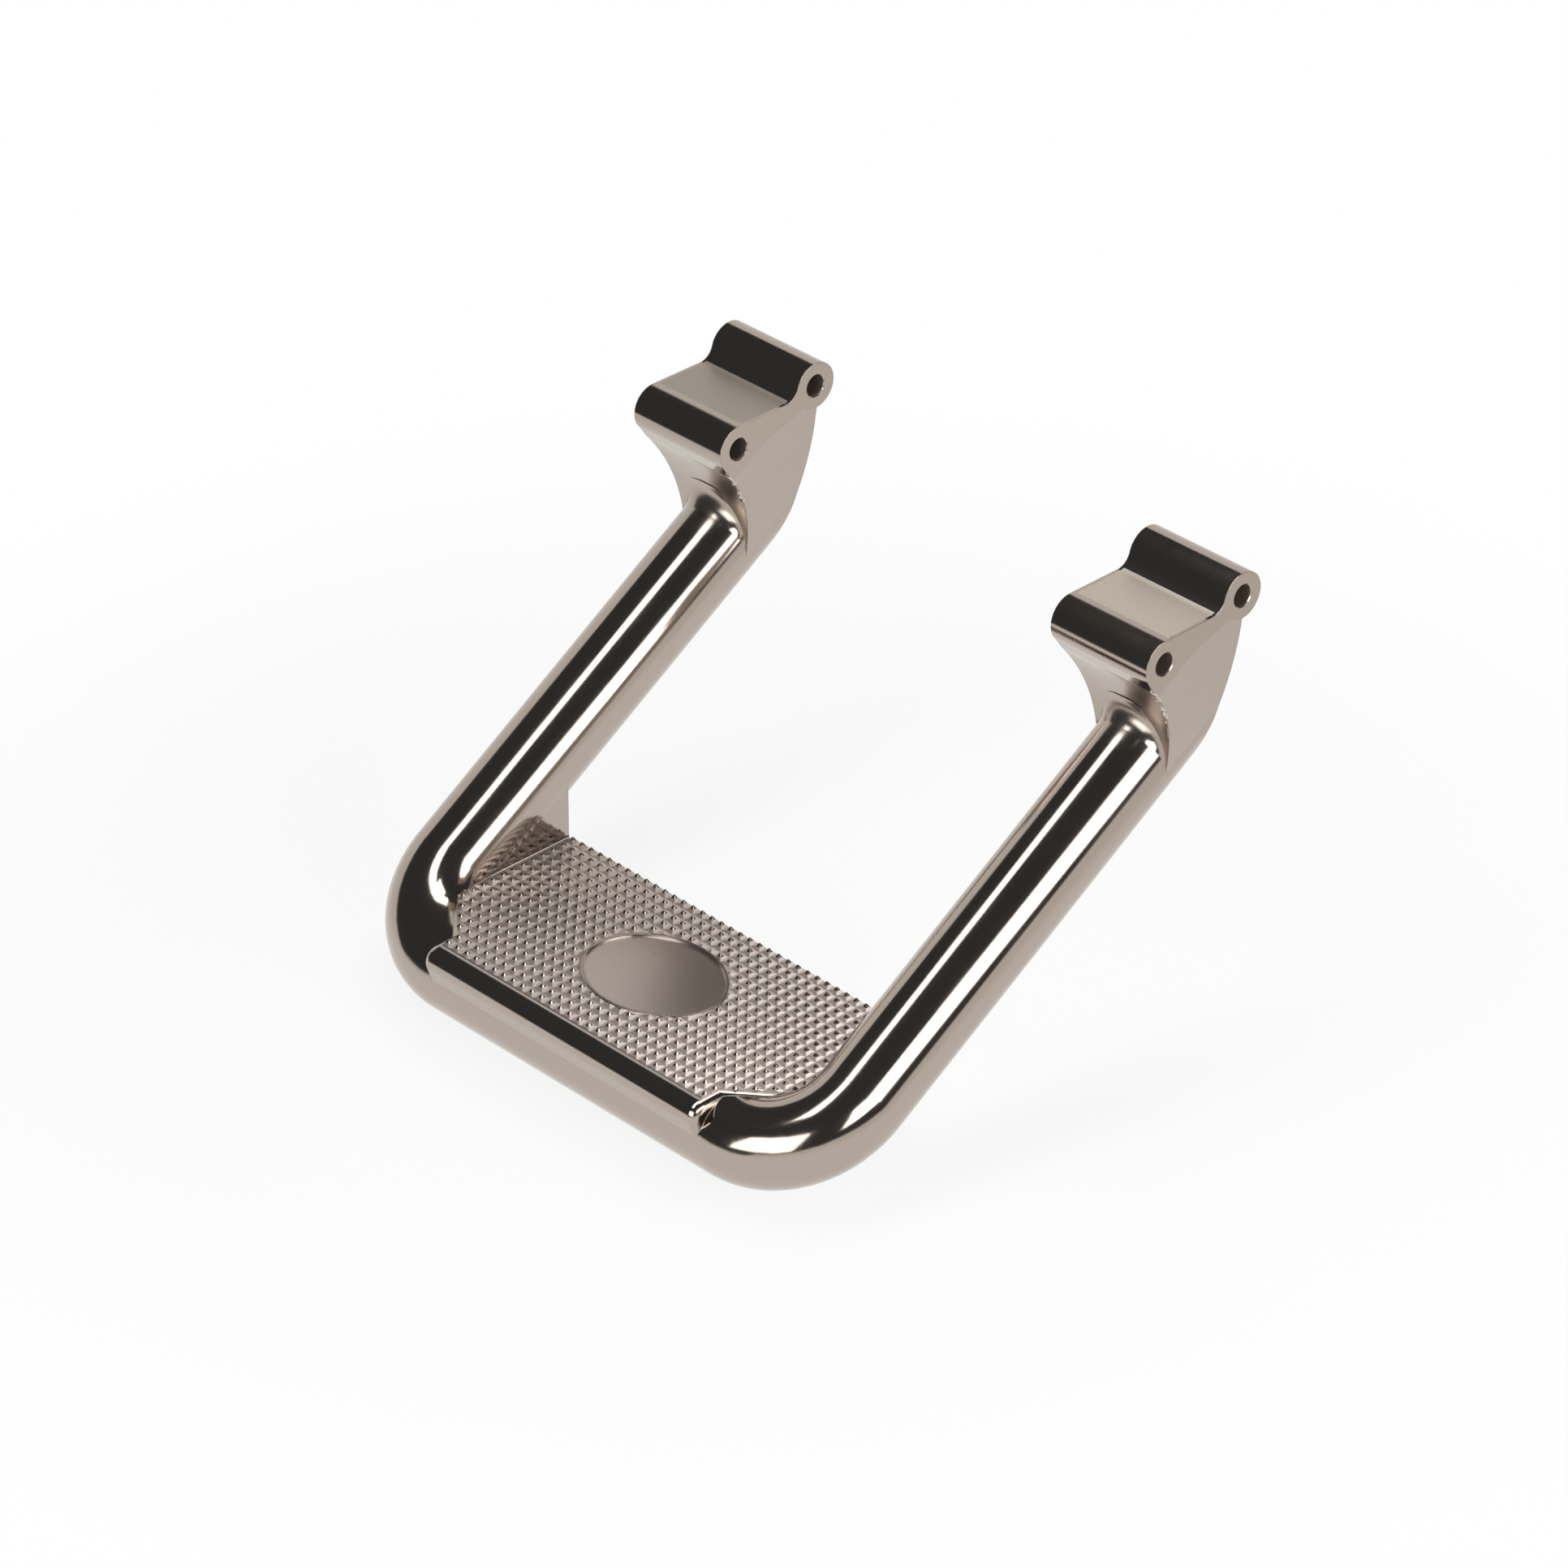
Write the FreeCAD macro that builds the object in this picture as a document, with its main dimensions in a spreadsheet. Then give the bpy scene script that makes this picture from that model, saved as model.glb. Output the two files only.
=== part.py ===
# Hoop step: one polished casting that bolts under a vehicle's sill.
# A round bar is bent into a hoop that rises backwards. A level tread fills its front, webs join
# the tread to the arms, and each arm ends in a drafted neck under a two-lobed ear with two bolt holes.
# Working frame: X to the right, Y back to the vehicle, Z up, zero at the middle of the tread's
# front edge. The finished piece is moved so that its origin is the bottom centre of its box.
import FreeCAD, Part
import math
import os
import Sketcher

Vector = FreeCAD.Vector

# Driving dimensions: name, value in millimetres or degrees, what it is
SIZES = [
    ("tube_diameter", 32.0, "round bar of the hoop"),
    ("arm_spacing", 204.0, "between the arms' centre lines"),
    ("bend_radius", 32.5, "corner bends, at the centre line"),
    ("hoop_angle", 32.0, "rise of the hoop's plane above the tread, degrees"),
    ("bar_setback", 12.0, "front bar's axis behind the tread's front edge"),
    ("bar_drop", 16.8, "front bar's axis below the tread's face"),
    ("arm_length", 183.0, "along an arm, from the front bar's axis to the neck's front"),
    ("ear_width", 44.0, "across an ear, along its bolt holes"),
    ("lobe_radius", 8.9, "round lobe about each bolt hole"),
    ("bore_diameter", 8.2, "bolt hole"),
    ("bore_lead", 0.4, "chamfer at both ends of a bolt hole"),
    ("front_bore_ahead", 9.6, "front bolt hole ahead of the neck's foot"),
    ("front_bore_rise", 49.5, "front bolt hole above the neck's foot"),
    ("bore_run", 37.7, "from the front to the rear bolt hole, level"),
    ("bore_climb", 11.2, "from the front to the rear bolt hole, upright"),
    ("saddle_fillet", 6.0, "hollow between the saddle and the rear lobe"),
    ("bar_depth", 5.0, "ear's lower edge below the line of the bolt holes"),
    ("chin_margin", 2.1, "chin below the front lobe, beyond the lobe's radius"),
    ("chin_angle", 251.0, "direction of the chin from the front bolt hole, degrees"),
    ("neck_draft", 8.5, "draft of the neck's sides, degrees"),
    ("neck_step", 0.3, "neck's side below the ear's side"),
    ("neck_radius", 56.0, "hollow front of the neck"),
    ("flare_radius", 8.0, "blend from the arm's top to the neck"),
    ("rear_radius", 84.0, "rounded back of the neck"),
    ("rear_behind", 2.7, "back of the neck behind the rear bolt hole"),
    ("tread_width", 130.0, "patterned front edge of the tread"),
    ("tread_depth", 80.75, "front edge to rear edge of the tread"),
    ("tread_thickness", 8.0, "tread plate"),
    ("nose_radius", 5.5, "rounded front edge of the tread"),
    ("nose_draft", 18.0, "slant of the nose's front below its round, degrees"),
    ("end_radius", 3.0, "rounded ends and shoulders of the tread"),
    ("shoulder_back", 8.0, "tread's shoulder behind its front edge"),
    ("shoulder_angle", 40.0, "shoulder's slant in plan, degrees"),
    ("web_thickness", 14.0, "side web under an arm"),
    ("web_inset", 0.6, "web's inner face inside the arm's inner side"),
    ("web_fillet", 1.0, "foot of the web on the tread"),
    ("pitch", 4.75, "from one pyramid to the next"),
    ("first_row", 3.4, "first row of pyramids behind the tread's front edge"),
    ("pyramid_height", 0.5, "pyramids above their grooves"),
    ("groove_rise", 0.2, "grooves above the tread plate"),
    ("field_margin", 0.3, "edge of the pyramids inside the tread's edge"),
    ("oval_width", 58.0, "plain oval in the middle of the tread"),
    ("oval_depth", 47.0, "oval, front to back"),
    ("oval_back", 41.0, "oval's middle behind the tread's front edge"),
    ("oval_rise", 0.9, "oval's rim above the tread plate"),
    ("rim_width", 1.6, "oval's rim"),
]

doc = FreeCAD.newDocument("hoop_step")
sheet = doc.addObject("Spreadsheet::Sheet", "Sizes")
for row, (alias, value, meaning) in enumerate(SIZES, start=1):
    sheet.set(f"A{row}", meaning)
    sheet.set(f"B{row}", str(value))
    sheet.setAlias(f"B{row}", alias)
doc.recompute()


def size(alias):
    """The sheet's value under this alias."""
    return float(sheet.get(alias))


# Places worked out from the driving dimensions, as (back, up) points of the side view
TUBE_RADIUS = size("tube_diameter") / 2
RISE = math.radians(size("hoop_angle"))
ALONG = (math.cos(RISE), math.sin(RISE))
ABOVE = (-math.sin(RISE), math.cos(RISE))
BAR_AXIS = (size("bar_setback"), -size("bar_drop"))
OVERLAP = 0.5            # how far fused pieces run into each other
SHALLOW = 0.05           # dip that keeps a blend from only grazing the surface it meets
OVAL_END = 0.8           # radius of the oval's ends, as a share of its half depth


def on_arm(along, above=0.0):
    """Side-view point at a distance along an arm and above its centre line."""
    return (BAR_AXIS[0] + along * ALONG[0] + above * ABOVE[0],
            BAR_AXIS[1] + along * ALONG[1] + above * ABOVE[1])


def arm_coordinates(point):
    """Distance along the arm and above its centre line of a side-view point."""
    back = point[0] - BAR_AXIS[0]
    up = point[1] - BAR_AXIS[1]
    return back * ALONG[0] + up * ALONG[1], back * ABOVE[0] + up * ABOVE[1]


def polar(centre, radius, angle):
    """Point at a radius and an angle in radians from a centre."""
    return (centre[0] + radius * math.cos(angle), centre[1] + radius * math.sin(angle))


def direction(start, end):
    """Angle in radians from one point to another."""
    return math.atan2(end[1] - start[1], end[0] - start[0])


NECK_FOOT = on_arm(size("arm_length"))
FRONT_BORE = (NECK_FOOT[0] - size("front_bore_ahead"), NECK_FOOT[1] + size("front_bore_rise"))
REAR_BORE = (FRONT_BORE[0] + size("bore_run"), FRONT_BORE[1] + size("bore_climb"))
REAR_FACE = REAR_BORE[0] + size("rear_behind")


def line(start, end):
    """Straight edge of a side or plan outline."""
    return Part.LineSegment(Vector(*start, 0), Vector(*end, 0))


def arc(centre, radius, start_angle, end_angle):
    """Counter-clockwise arc between two angles in radians."""
    circle = Part.Circle(Vector(*centre, 0), Vector(0, 0, 1), radius)
    return Part.ArcOfCircle(circle, start_angle, end_angle)


def polygon(points):
    """Closed run of straight edges through the points."""
    return [line(start, end) for start, end in zip(points, points[1:] + points[:1])]


def new_body(name):
    """Empty body."""
    return doc.addObject("PartDesign::Body", name)


def new_sketch(body, name, plane, edges, shift=None):
    """Sketch of the edges on one of the body's own planes, shifted along its normal by an expression."""
    sketch = body.newObject("Sketcher::SketchObject", name)
    support = [feature for feature in body.Origin.OriginFeatures if feature.Role == plane][0]
    sketch.AttachmentSupport = [(support, "")]
    sketch.MapMode = "FlatFace"
    sketch.addGeometry(edges, False)
    if shift:
        sketch.setExpression("AttachmentOffset.Base.z", shift)
    return sketch


def new_pad(body, name, sketch, length, centred=False):
    """Pad whose length is an expression of the sheet's sizes."""
    pad = body.newObject("PartDesign::Pad", name)
    pad.Profile = sketch
    pad.setExpression("Length", length)
    pad.Midplane = centred
    return pad


def boolean(kind, name, pieces):
    """Fuse or common of several objects."""
    result = doc.addObject(kind, name)
    result.Shapes = pieces
    return result


def cut(name, base, tool):
    """Base with the tool taken away."""
    result = doc.addObject("Part::Cut", name)
    result.Base = base
    result.Tool = tool
    return result


def mirrored(source):
    """The same piece on the other side of the step."""
    copy = doc.addObject("Part::Mirroring", "left_" + source.Name)
    copy.Source = source
    copy.Normal = Vector(1, 0, 0)
    return copy


def stand_on_hoop_plane(piece):
    """Tilts a piece drawn flat into the hoop's plane, with its zero on the front bar's axis."""
    piece.Placement = FreeCAD.Placement(Vector(0, 0, 0), FreeCAD.Rotation(Vector(1, 0, 0), 0))
    piece.setExpression("Placement.Rotation.Angle", "Sizes.hoop_angle")
    piece.setExpression("Placement.Base.y", "Sizes.bar_setback")
    piece.setExpression("Placement.Base.z", "-Sizes.bar_drop")


# Hoop: one round bar swept along the front bar, the bends and the two arms
def make_hoop():
    half = size("arm_spacing") / 2
    bend = size("bend_radius")
    end = arm_coordinates((REAR_FACE, REAR_BORE[1]))[0] + TUBE_RADIUS
    hoop = new_body("hoop")
    path = new_sketch(hoop, "hoop_path", "XY_Plane", [
        line((-half, end), (-half, bend)),
        arc((-half + bend, bend), bend, math.pi, 1.5 * math.pi),
        line((-half + bend, 0), (half - bend, 0)),
        arc((half - bend, bend), bend, 1.5 * math.pi, 2 * math.pi),
        line((half, bend), (half, end))])
    section = hoop.newObject("Sketcher::SketchObject", "bar_section")
    section.Placement = FreeCAD.Placement(Vector(-half, end, 0), FreeCAD.Rotation(Vector(1, 0, 0), 90))
    section.addGeometry(Part.Circle(Vector(0, 0, 0), Vector(0, 0, 1), TUBE_RADIUS), False)
    section.addConstraint(Sketcher.Constraint("Coincident", 0, 3, -1, 1))
    section.addConstraint(Sketcher.Constraint("Radius", 0, TUBE_RADIUS))
    section.setExpression("Constraints[1]", "Sizes.tube_diameter / 2")
    bar = hoop.newObject("PartDesign::AdditivePipe", "hoop_bar")
    bar.Profile = section
    bar.Spine = path
    stand_on_hoop_plane(hoop)
    return hoop


# Neck's taper: as wide as the arm at its centre line and wider above by the draft
def make_taper():
    slope = "tan(Sizes.neck_draft * 1 deg)"
    foot = "Sizes.tube_diameter / 10"
    top = "Sizes.front_bore_rise + Sizes.lobe_radius"
    taper = doc.addObject("Part::Wedge", "neck_taper")
    middle = "Sizes.arm_spacing / 2"
    low = f"(Sizes.tube_diameter / 2 - {foot} * {slope})"
    high = f"(Sizes.tube_diameter / 2 + ({top}) * {slope})"
    taper.setExpression("Xmin", f"{middle} - {low}")
    taper.setExpression("Xmax", f"{middle} + {low}")
    taper.setExpression("X2min", f"{middle} - {high}")
    taper.setExpression("X2max", f"{middle} + {high}")
    taper.setExpression("Ymin", f"-{foot}")
    taper.setExpression("Ymax", top)
    for corner in ("Zmin", "Z2min"):
        taper.setExpression(corner, "-Sizes.arm_length - 2 * Sizes.bore_run - 2 * Sizes.lobe_radius")
    for corner in ("Zmax", "Z2max"):
        taper.setExpression(corner, "-Sizes.arm_length + Sizes.tube_diameter")
    stand_on_hoop_plane(taper)
    taper.setExpression("Placement.Rotation.Angle", "Sizes.hoop_angle + 90")
    return taper


def neck_front():
    """Centre of the neck's hollow front, which runs from the chin to the neck's foot."""
    chin = polar(FRONT_BORE, size("lobe_radius") + size("chin_margin"), math.radians(size("chin_angle")))
    reach = math.dist(chin, NECK_FOOT) / 2
    middle = ((chin[0] + NECK_FOOT[0]) / 2, (chin[1] + NECK_FOOT[1]) / 2)
    away = direction(chin, NECK_FOOT) - math.pi / 2
    return chin, polar(middle, math.sqrt(size("neck_radius") ** 2 - reach ** 2), away)


# Neck: the taper trimmed to its side view, with the chin under the front lobe
def make_neck(taper):
    chin, centre = neck_front()
    lobe = size("lobe_radius")
    tangent = direction(FRONT_BORE, chin) - math.acos(lobe / math.dist(FRONT_BORE, chin))
    cheek = polar(FRONT_BORE, lobe, tangent)
    below = on_arm(size("arm_length"), -TUBE_RADIUS / 2)
    behind = on_arm(arm_coordinates(REAR_BORE)[0] + TUBE_RADIUS, -TUBE_RADIUS / 2)
    past = (REAR_FACE + lobe, REAR_BORE[1])
    outline = [
        line(FRONT_BORE, cheek),
        line(cheek, chin),
        arc(centre, size("neck_radius"), direction(centre, NECK_FOOT), direction(centre, chin)),
        line(NECK_FOOT, below),
        line(below, behind),
        line(behind, past),
        line(past, REAR_BORE),
        line(REAR_BORE, FRONT_BORE)]
    side = new_body("neck_side")
    sketch = new_sketch(side, "neck_outline", "YZ_Plane", outline, "Sizes.arm_spacing / 2")
    new_pad(side, "neck_width", sketch, "Sizes.ear_width - 2 * Sizes.neck_step", True)
    return boolean("Part::MultiCommon", "neck", [taper, side])


# Flare: a ring about the arm that blends its upper half into the neck's front
def make_flare(taper):
    centre = neck_front()[1]
    along, above = arm_coordinates(centre)
    flare = size("flare_radius")
    ring = TUBE_RADIUS + flare - SHALLOW
    start = along + math.sqrt((size("neck_radius") - flare) ** 2 - (ring - above) ** 2) - 4 * SHALLOW
    half = size("arm_spacing") / 2
    tip = (half + ring, start + flare)
    body = new_body("flare_ring")
    sketch = new_sketch(body, "flare_outline", "XY_Plane", [
        line((half, start), (half + TUBE_RADIUS - SHALLOW, start)),
        arc((half + ring, start), flare, math.pi / 2, math.pi),
        line(tip, (half, tip[1])),
        line((half, tip[1]), (half, start))])
    turned = body.newObject("PartDesign::Revolution", "flare_turned")
    turned.Profile = sketch
    turned.ReferenceAxis = (sketch, ["Edge4"])
    turned.Angle = 360.0
    stand_on_hoop_plane(body)
    return boolean("Part::MultiCommon", "flare", [taper, body])


# Rear relief: what the rounded back of the necks leaves out, over both arms
def make_rear_relief():
    radius = size("rear_radius")
    graze = radius - TUBE_RADIUS - OVERLAP
    back = REAR_FACE - radius
    up = BAR_AXIS[1] + (graze - (back - BAR_AXIS[0]) * ABOVE[0]) / ABOVE[1]
    centre = (back, up)
    lowest = polar(centre, radius, RISE - math.pi / 2)
    far = REAR_FACE + radius
    high = REAR_BORE[1] + radius
    relief = new_body("rear_relief")
    sketch = new_sketch(relief, "rear_outline", "YZ_Plane", [
        arc(centre, radius, RISE - math.pi / 2, 0),
        line((REAR_FACE, up), (REAR_FACE, high)),
        line((REAR_FACE, high), (far, high)),
        line((far, high), (far, lowest[1])),
        line((far, lowest[1]), lowest)])
    new_pad(relief, "rear_span", sketch, "2 * Sizes.arm_spacing", True)
    return relief


# Ear: two lobes with a flat saddle between them
def make_ear():
    lobe = size("lobe_radius")
    fillet = size("saddle_fillet")
    saddle = FRONT_BORE[1] + lobe
    hollow_up = saddle + fillet
    hollow = (REAR_BORE[0] - math.sqrt((lobe + fillet) ** 2 - (hollow_up - REAR_BORE[1]) ** 2), hollow_up)
    slant = direction(FRONT_BORE, REAR_BORE)
    dip = math.asin(size("bar_depth") / lobe)
    to_hollow = direction(REAR_BORE, hollow)
    front_end = polar(FRONT_BORE, lobe, slant - dip)
    rear_start = polar(REAR_BORE, lobe, slant + math.pi + dip)
    outline = [
        arc(FRONT_BORE, lobe, math.pi / 2, 2 * math.pi + slant - dip),
        line(front_end, rear_start),
        arc(REAR_BORE, lobe, slant + dip - math.pi, to_hollow),
        arc(hollow, fillet, 1.5 * math.pi, 2 * math.pi + direction(hollow, REAR_BORE)),
        line((hollow[0], saddle), (FRONT_BORE[0], saddle))]
    ear = new_body("ear")
    sketch = new_sketch(ear, "ear_outline", "YZ_Plane", outline, "Sizes.arm_spacing / 2")
    new_pad(ear, "ear_span", sketch, "Sizes.ear_width", True)
    return ear


# Bolt hole: a straight bore along X with a chamfer at both faces of the ear
def make_bore(name, place):
    ear = "Sizes.ear_width"
    radius = "Sizes.bore_diameter / 2"
    pieces = []
    for part, end in (("shank", 0), ("outer_lead", 1), ("inner_lead", -1)):
        kind = "Part::Cone" if end else "Part::Cylinder"
        piece = doc.addObject(kind, f"{name}_{part}")
        if end:
            piece.setExpression("Radius1", radius)
            piece.setExpression("Radius2", f"{radius} + 2 * Sizes.bore_lead")
            piece.setExpression("Height", "2 * Sizes.bore_lead")
            reach = f"{ear} / 2 - Sizes.bore_lead"
        else:
            piece.setExpression("Radius", radius)
            piece.setExpression("Height", f"{ear} + 2 * Sizes.lobe_radius")
            reach = f"-({ear} / 2 + Sizes.lobe_radius)"
        sign = -1 if end < 0 else 1
        piece.Placement = FreeCAD.Placement(
            Vector(0, *place), FreeCAD.Rotation(Vector(0, 1, 0), 90 * sign))
        piece.setExpression("Placement.Base.x", f"Sizes.arm_spacing / 2 + {sign} * ({reach})")
        pieces.append(piece)
    return boolean("Part::MultiFuse", name, pieces)


def edges_where(feature, test):
    """Names of the feature's edges whose two ends both pass the test."""
    shape = feature.Shape
    return [f"Edge{number}" for number, edge in enumerate(shape.Edges, start=1)
            if all(test(vertex.Point) for vertex in edge.Vertexes)]


def new_fillet(body, name, base, edges, radius):
    """Fillet of the named edges, with its radius an expression of the sheet's sizes."""
    fillet = body.newObject("PartDesign::Fillet", name)
    fillet.Base = (base, edges)
    fillet.setExpression("Radius", radius)
    doc.recompute()
    return fillet


def near(first, second):
    """True where two lengths are equal but for rounding."""
    return abs(first - second) < 1e-4


# Nose: the tread's front, which laps over the front bar and is rounded at its edge and ends
def make_nose():
    radius = size("nose_radius")
    thick = size("tread_thickness")
    draft = math.radians(size("nose_draft"))
    half = size("tread_width") / 2 + size("end_radius")
    lap = size("shoulder_back") + 2 * size("end_radius")
    turned = polar((0, -radius), radius, math.pi + draft)
    foot = (turned[0] + (turned[1] - BAR_AXIS[1]) * math.tan(draft), BAR_AXIS[1])
    body = new_body("nose")
    outline = new_sketch(body, "nose_outline", "YZ_Plane", [
        line((lap, 0), (0, 0)),
        arc((0, -radius), radius, math.pi / 2, math.pi + draft),
        line(turned, foot),
        line(foot, BAR_AXIS),
        line(BAR_AXIS, (lap, -thick)),
        line((lap, -thick), (lap, 0))])
    block = new_pad(body, "nose_block", outline, "Sizes.tread_width + 2 * Sizes.end_radius", True)
    doc.recompute()
    ends = []
    for side in (half, -half):
        ends += edges_where(block, lambda p: near(p.x, side) and (p.y < OVERLAP or near(p.z, 0)))
    body.Tip = new_fillet(body, "nose_ends", block, ends, "Sizes.end_radius")
    return body


# Tread: a plate with slanted shoulders and the two side webs
def make_tread():
    eased = size("end_radius")
    slant = math.tan(math.radians(size("shoulder_angle")))
    half = size("tread_width") / 2 + eased
    depth = size("tread_depth")
    thick = size("tread_thickness")
    web_in = size("arm_spacing") / 2 - TUBE_RADIUS + size("web_inset")
    web_out = web_in + size("web_thickness")
    shoulder = size("shoulder_back")
    flank = shoulder + (web_out - half) * slant
    front = shoulder - eased * slant
    tread = new_body("tread")
    plan = new_sketch(tread, "tread_plan", "XY_Plane", polygon([
        (eased - half, front), (half - eased, front), (web_out, flank), (web_out, depth),
        (-web_out, depth), (-web_out, flank)]))
    plate = new_pad(tread, "tread_plate", plan, "Sizes.tread_thickness")
    plate.Reversed = True
    doc.recompute()
    slants = edges_where(plate, lambda p: near(p.z, 0) and p.y < flank + OVERLAP)
    slants = [name for name in slants if not near(*[v.Point.y for v in plate.Shape.getElement(name).Vertexes])]
    new_fillet(tread, "shoulder_round", plate, slants, "Sizes.end_radius")

    axis_low = on_arm((size("bar_drop") - thick) / ALONG[1])
    axis_rear = on_arm((depth - BAR_AXIS[0]) / ALONG[0])
    webs = new_sketch(tread, "web_outline", "YZ_Plane",
                      polygon([axis_low, (depth, -thick), axis_rear]),
                      "Sizes.arm_spacing / 2 - Sizes.tube_diameter / 2 + Sizes.web_inset")
    web = new_pad(tread, "right_web", webs, "Sizes.web_thickness")
    both = tread.newObject("PartDesign::Mirrored", "both_webs")
    both.Originals = [web]
    side_plane = [feature for feature in tread.Origin.OriginFeatures if feature.Role == "YZ_Plane"][0]
    both.MirrorPlane = (side_plane, [""])
    tread.Tip = both
    doc.recompute()
    feet = edges_where(both, lambda p: near(p.z, 0) and near(abs(p.x), web_in))
    tread.Tip = new_fillet(tread, "web_feet", both, feet, "Sizes.web_fillet")
    return tread


def teeth(start, count):
    """Closed outline of a row of pyramids seen from its side."""
    pitch = size("pitch")
    low = size("groove_rise")
    high = low + size("pyramid_height")
    points = [(start, -2 * OVERLAP), (start, low)]
    for number in range(count):
        points.append((start + (number + 0.5) * pitch, high))
        points.append((start + (number + 1) * pitch, low))
    points.append((start + count * pitch, -2 * OVERLAP))
    return polygon(points)


def oval(inset=0.0):
    """Outline of the plain oval as four tangent arcs, smaller by an inset."""
    back = size("oval_back")
    reach = size("oval_depth") / 2
    small = OVAL_END * reach
    shift = size("oval_width") / 2 - small
    large = (shift ** 2 + reach ** 2 - small ** 2) / (2 * (reach - small))
    turn = math.atan2(large - reach, shift)
    return [
        arc((shift, back), small - inset, -turn, turn),
        arc((0, back + reach - large), large - inset, turn, math.pi - turn),
        arc((-shift, back), small - inset, math.pi - turn, math.pi + turn),
        arc((0, back - reach + large), large - inset, math.pi + turn, 2 * math.pi - turn)]


# Pyramids: rows and columns of teeth crossed with each other and trimmed to the tread around the oval
def make_pyramids():
    pitch = size("pitch")
    margin = size("field_margin")
    depth = size("tread_depth")
    narrow = size("tread_width") / 2
    wide = (size("arm_spacing") - size("tube_diameter")) / 2 - size("web_fillet")
    start = size("first_row") - pitch / 2
    slant = math.tan(math.radians(size("shoulder_angle")))
    corner = size("shoulder_back") + size("end_radius") / 2
    flank = corner + (wide - narrow) * slant
    columns = new_body("pyramid_columns")
    pairs = math.ceil(wide / pitch)
    sketch = new_sketch(columns, "column_teeth", "XZ_Plane", teeth(-pairs * pitch, 2 * pairs))
    new_pad(columns, "column_run", sketch, "4 * Sizes.tread_depth", True)
    rows = new_body("pyramid_rows")
    sketch = new_sketch(rows, "row_teeth", "YZ_Plane", teeth(start, math.ceil((depth - start) / pitch)))
    new_pad(rows, "row_run", sketch, "2 * Sizes.arm_spacing", True)
    plan = new_body("pyramid_plan")
    sketch = new_sketch(plan, "pyramid_outline", "XY_Plane", polygon([
        (-narrow, start + margin), (narrow, start + margin), (narrow, corner), (wide, flank),
        (wide, depth - margin), (-wide, depth - margin), (-wide, flank), (-narrow, corner)])
        + oval(size("rim_width") / 2))
    new_pad(plan, "plan_height", sketch,
            f"2 * (Sizes.pyramid_height + Sizes.groove_rise + {OVERLAP})", True)
    return boolean("Part::MultiCommon", "pyramids", [columns, rows, plan])


# Oval: a chamfered rim where the pyramids leave the tread plain
def make_oval():
    body = new_body("oval_rim")
    outline = oval() + oval(size("rim_width"))
    sketch = new_sketch(body, "rim_outline", "XY_Plane", outline, "-Sizes.groove_rise")
    ring = new_pad(body, "rim_ring", sketch, "Sizes.oval_rise + Sizes.groove_rise")
    doc.recompute()
    top = size("oval_rise")
    chamfer = body.newObject("PartDesign::Chamfer", "rim_chamfer")
    chamfer.Base = (ring, edges_where(ring, lambda p: near(p.z, top)))
    chamfer.setExpression("Size", "Sizes.rim_width / 4")
    body.Tip = chamfer
    return body


hoop = make_hoop()
taper = make_taper()
neck = make_neck(taper)
flare = make_flare(taper)
ear = make_ear()
front_bore = make_bore("front_bore", FRONT_BORE)
rear_bore = make_bore("rear_bore", REAR_BORE)
nose = make_nose()
tread = make_tread()
pyramids = make_pyramids()
rim = make_oval()
relief = make_rear_relief()
doc.recompute()

arms = boolean("Part::MultiFuse", "arms", [hoop, neck, mirrored(neck), flare, mirrored(flare)])
relieved = cut("relieved_arms", arms, relief)
casting = boolean("Part::MultiFuse", "casting", [relieved, ear, mirrored(ear), nose, tread, rim, pyramids])
bores = boolean("Part::MultiFuse", "bores", [front_bore, mirrored(front_bore), rear_bore, mirrored(rear_bore)])
step = cut("hoop_step", casting, bores)
step.Refine = True
foremost = min(BAR_AXIS[0] - TUBE_RADIUS, -size("nose_radius"))
depth_middle = (foremost + REAR_BORE[0] + size("lobe_radius")) / 2
step.Placement = FreeCAD.Placement(
    Vector(0, -depth_middle, size("bar_drop") + TUBE_RADIUS), FreeCAD.Rotation())
doc.recompute()

for item in doc.Objects:
    if "Invalid" in item.State or "Error" in item.State:
        raise RuntimeError(f"{item.Label} failed: {item.State}")
shape = step.Shape
if shape.isNull() or not shape.isValid() or len(shape.Solids) != 1:
    raise RuntimeError(f"{step.Label} isn't one sound solid")
box = shape.BoundBox
print(f"{step.Label}: {shape.Volume / 1000:.1f} cm3, {len(shape.Faces)} faces, "
      f"x {box.XMin:.2f} {box.XMax:.2f}, y {box.YMin:.2f} {box.YMax:.2f}, z {box.ZMin:.2f} {box.ZMax:.2f}")
os.makedirs("parts", exist_ok=True)
shape.exportStep(f"parts/{step.Label}.step")
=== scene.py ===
# %% [markdown]
# # Hoop step
# A cast and polished side step: a round bar bent into a hoop, a level tread with a field of small
# pyramids, and two ears with bolt holes. This notebook dresses the CAD model as the photograph shows
# it. Lengths are in metres. X runs to the right, Y back to the vehicle and Z up, and zero is the
# bottom centre of the step.

# %% Load the frame
import bpy
import math
from mathutils import Matrix, Vector


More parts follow.
